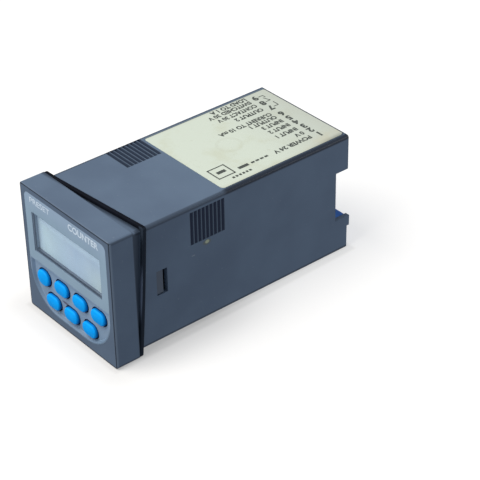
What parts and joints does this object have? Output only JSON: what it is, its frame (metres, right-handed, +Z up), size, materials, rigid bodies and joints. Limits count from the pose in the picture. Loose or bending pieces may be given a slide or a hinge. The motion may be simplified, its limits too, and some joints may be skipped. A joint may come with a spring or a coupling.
{
  "type": "digital counter",
  "caption": "Panel-mounted digital counter: square front with a display window above blue keys, long vented housing, blue plug-in screw terminals at the rear.",
  "frame": {"origin": "centre of the panel cut-out, in the plane where the gasket meets the panel", "axes": "+X to the right seen from the front, +Y back through the panel, +Z up"},
  "size_m": [0.048, 0.1014, 0.048],
  "materials": {
    "case_plastic": "fine satin texture, slate grey-blue",
    "gasket_rubber": "dull black",
    "foil": "satin print, pale blue-grey",
    "clear_pane": "clear",
    "tray_plastic": "satin, pale blue-grey",
    "key_plastic": "satin, bright azure",
    "silicone": "dull translucent grey",
    "display_glass": "blank reflective display",
    "white_plastic": "white moulding",
    "board_laminate": "green solder mask",
    "black_plastic": "black moulding",
    "tinned_metal": "tinned",
    "clamp_brass": "plain brass",
    "screw_steel": "zinc plated",
    "terminal_plastic": "blue moulding",
    "can_metal": "bright can",
    "sleeve_plastic": "dark sleeve",
    "ferrite": "grey ferrite",
    "relay_plastic": "amber case",
    "label_film": "matt film, slightly stained"
  },
  "bodies": {
    "counter": {"housing": "case_plastic", "bezel": "case_plastic", "panel_gasket": "gasket_rubber", "front_foil": "foil", "window_pane": "clear_pane", "key_tray": "tray_plastic", "keypad_mat": "silicone", "display_glass": "display_glass", "display_holder": "white_plastic", "contact_strips": "gasket_rubber", "display_board": "board_laminate", "upper_board": "board_laminate", "lower_board": "board_laminate", "upper_link": "black_plastic", "lower_link": "black_plastic", "header_a": "black_plastic", "header_b": "black_plastic", "header_c": "black_plastic", "pins_a": "tinned_metal", "pins_b": "tinned_metal", "pins_c": "tinned_metal", "processor": "black_plastic", "memory_chip": "black_plastic", "optocouplers": "white_plastic", "crystal": "can_metal", "input_capacitor": "sleeve_plastic", "output_capacitor": "sleeve_plastic", "choke": "ferrite", "relay_1": "relay_plastic", "relay_2": "relay_plastic", "rating_label": "label_film"},
    "key_1_body": {"key_1": "key_plastic"},
    "key_2_body": {"key_2": "key_plastic"},
    "key_3_body": {"key_3": "key_plastic"},
    "key_4_body": {"key_4": "key_plastic"},
    "key_5_body": {"key_5": "key_plastic"},
    "key_6_body": {"key_6": "key_plastic"},
    "key_7_body": {"key_7": "key_plastic"},
    "terminal_plug_a": {"plug_a": "terminal_plastic", "clamps_a": "clamp_brass", "screws_a": "screw_steel"},
    "terminal_plug_b": {"plug_b": "terminal_plastic", "clamps_b": "clamp_brass", "screws_b": "screw_steel"},
    "terminal_plug_c": {"plug_c": "terminal_plastic", "clamps_c": "clamp_brass", "screws_c": "screw_steel"}
  },
  "joints": [
    {"name": "key_1_press", "type": "slide", "parent": "counter", "child": "key_1_body", "axis": [0, 1, 0], "range_m": [0, 0.0009], "stiffness_N_per_m": 900, "springref_m": -0.0005, "deforming": ["keypad_mat"]},
    {"name": "key_2_press", "type": "slide", "parent": "counter", "child": "key_2_body", "axis": [0, 1, 0], "range_m": [0, 0.0009], "stiffness_N_per_m": 900, "springref_m": -0.0005, "deforming": ["keypad_mat"]},
    {"name": "key_3_press", "type": "slide", "parent": "counter", "child": "key_3_body", "axis": [0, 1, 0], "range_m": [0, 0.0009], "stiffness_N_per_m": 900, "springref_m": -0.0005, "deforming": ["keypad_mat"]},
    {"name": "key_4_press", "type": "slide", "parent": "counter", "child": "key_4_body", "axis": [0, 1, 0], "range_m": [0, 0.0009], "stiffness_N_per_m": 900, "springref_m": -0.0005, "deforming": ["keypad_mat"]},
    {"name": "key_5_press", "type": "slide", "parent": "counter", "child": "key_5_body", "axis": [0, 1, 0], "range_m": [0, 0.0009], "stiffness_N_per_m": 900, "springref_m": -0.0005, "deforming": ["keypad_mat"]},
    {"name": "key_6_press", "type": "slide", "parent": "counter", "child": "key_6_body", "axis": [0, 1, 0], "range_m": [0, 0.0009], "stiffness_N_per_m": 900, "springref_m": -0.0005, "deforming": ["keypad_mat"]},
    {"name": "key_7_press", "type": "slide", "parent": "counter", "child": "key_7_body", "axis": [0, 1, 0], "range_m": [0, 0.0009], "stiffness_N_per_m": 900, "springref_m": -0.0005, "deforming": ["keypad_mat"]},
    {"name": "terminal_plug_a_pull", "type": "slide", "parent": "counter", "child": "terminal_plug_a", "axis": [0, 1, 0], "range_m": [0, 0.016]},
    {"name": "terminal_plug_b_pull", "type": "slide", "parent": "counter", "child": "terminal_plug_b", "axis": [0, 1, 0], "range_m": [0, 0.016]},
    {"name": "terminal_plug_c_pull", "type": "slide", "parent": "counter", "child": "terminal_plug_c", "axis": [0, 1, 0], "range_m": [0, 0.016]}
  ]
}
